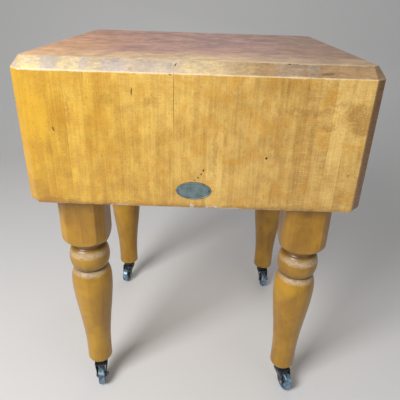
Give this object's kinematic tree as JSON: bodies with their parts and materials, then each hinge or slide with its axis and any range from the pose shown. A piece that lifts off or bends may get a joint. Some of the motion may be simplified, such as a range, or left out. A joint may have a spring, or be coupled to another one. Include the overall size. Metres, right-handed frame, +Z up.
{
  "type": "butcher block table",
  "caption": "Thick end-grain wooden chopping block with bevelled top edges on four turned legs with swivel casters.",
  "frame": {"origin": "on the floor under the middle of the block", "axes": "+Z up; the front, with the oval plate, faces -Y; +X to the right seen from the front"},
  "size_m": [0.762, 0.706, 0.974],
  "materials": {
    "block_maple": "amber varnished end-grain maple, worn satin top",
    "leg_maple": "glossy amber varnish, worn on the turnings",
    "plate_metal": "tarnished grey-blue",
    "nail_metal": "dull",
    "dark_steel": "dark japanned steel",
    "wheel_metal": "worn bare metal",
    "plated_steel": "dull zinc plate",
    "bearing_steel": "polished"
  },
  "bodies": {
    "table": {"block_row_01": "block_maple", "block_row_02": "block_maple", "block_row_03": "block_maple", "block_row_04": "block_maple", "block_row_05": "block_maple", "block_row_06": "block_maple", "block_row_07": "block_maple", "block_row_08": "block_maple", "block_row_09": "block_maple", "block_row_10": "block_maple", "block_row_11": "block_maple", "block_row_12": "block_maple", "block_row_13": "block_maple", "block_row_14": "block_maple", "block_row_15": "block_maple", "block_row_16": "block_maple", "block_row_17": "block_maple", "block_row_18": "block_maple", "block_row_19": "block_maple", "leg_front_left": "leg_maple", "leg_front_right": "leg_maple", "leg_back_left": "leg_maple", "leg_back_right": "leg_maple", "leg_hanger_bolts": "plated_steel", "leg_inserts": "plated_steel", "oval_plate": "plate_metal", "plate_nails": "nail_metal", "caster_sockets": "dark_steel", "caster_front_left_kingpin": "dark_steel", "caster_front_left_top_cup": "dark_steel", "caster_front_right_kingpin": "dark_steel", "caster_front_right_top_cup": "dark_steel", "caster_back_left_kingpin": "dark_steel", "caster_back_left_top_cup": "dark_steel", "caster_back_right_kingpin": "dark_steel", "caster_back_right_top_cup": "dark_steel"},
    "swivel_front_left": {"caster_front_left_fork": "dark_steel", "caster_front_left_balls": "bearing_steel", "caster_front_left_axle": "plated_steel", "caster_front_left_axle_nut": "plated_steel"},
    "wheel_front_left": {"caster_front_left_wheel": "wheel_metal"},
    "swivel_front_right": {"caster_front_right_fork": "dark_steel", "caster_front_right_balls": "bearing_steel", "caster_front_right_axle": "plated_steel", "caster_front_right_axle_nut": "plated_steel"},
    "wheel_front_right": {"caster_front_right_wheel": "wheel_metal"},
    "swivel_back_left": {"caster_back_left_fork": "dark_steel", "caster_back_left_balls": "bearing_steel", "caster_back_left_axle": "plated_steel", "caster_back_left_axle_nut": "plated_steel"},
    "wheel_back_left": {"caster_back_left_wheel": "wheel_metal"},
    "swivel_back_right": {"caster_back_right_fork": "dark_steel", "caster_back_right_balls": "bearing_steel", "caster_back_right_axle": "plated_steel", "caster_back_right_axle_nut": "plated_steel"},
    "wheel_back_right": {"caster_back_right_wheel": "wheel_metal"}
  },
  "joints": [
    {"name": "caster_front_left_swivel", "type": "hinge", "parent": "table", "child": "swivel_front_left", "pos_m": [-0.28, -0.257, 0.064], "axis": [0, 0, 1], "continuous": true},
    {"name": "caster_front_left_roll", "type": "hinge", "parent": "swivel_front_left", "child": "wheel_front_left", "pos_m": [-0.27418, -0.28439, 0.0286], "axis": [0.9781, 0.2079, 0], "continuous": true},
    {"name": "caster_front_right_swivel", "type": "hinge", "parent": "table", "child": "swivel_front_right", "pos_m": [0.28, -0.257, 0.064], "axis": [0, 0, 1], "continuous": true},
    {"name": "caster_front_right_roll", "type": "hinge", "parent": "swivel_front_right", "child": "wheel_front_right", "pos_m": [0.29183, -0.28238, 0.0286], "axis": [0.9063, 0.4226, 0], "continuous": true},
    {"name": "caster_back_left_swivel", "type": "hinge", "parent": "table", "child": "swivel_back_left", "pos_m": [-0.28, 0.257, 0.064], "axis": [0, 0, 1], "continuous": true},
    {"name": "caster_back_left_roll", "type": "hinge", "parent": "swivel_back_left", "child": "wheel_back_left", "pos_m": [-0.28582, 0.22961, 0.0286], "axis": [0.9781, -0.2079, 0], "continuous": true},
    {"name": "caster_back_right_swivel", "type": "hinge", "parent": "table", "child": "swivel_back_right", "pos_m": [0.28, 0.257, 0.064], "axis": [0, 0, 1], "continuous": true},
    {"name": "caster_back_right_roll", "type": "hinge", "parent": "swivel_back_right", "child": "wheel_back_right", "pos_m": [0.28341, 0.22921, 0.0286], "axis": [0.9925, 0.1219, 0], "continuous": true}
  ]
}
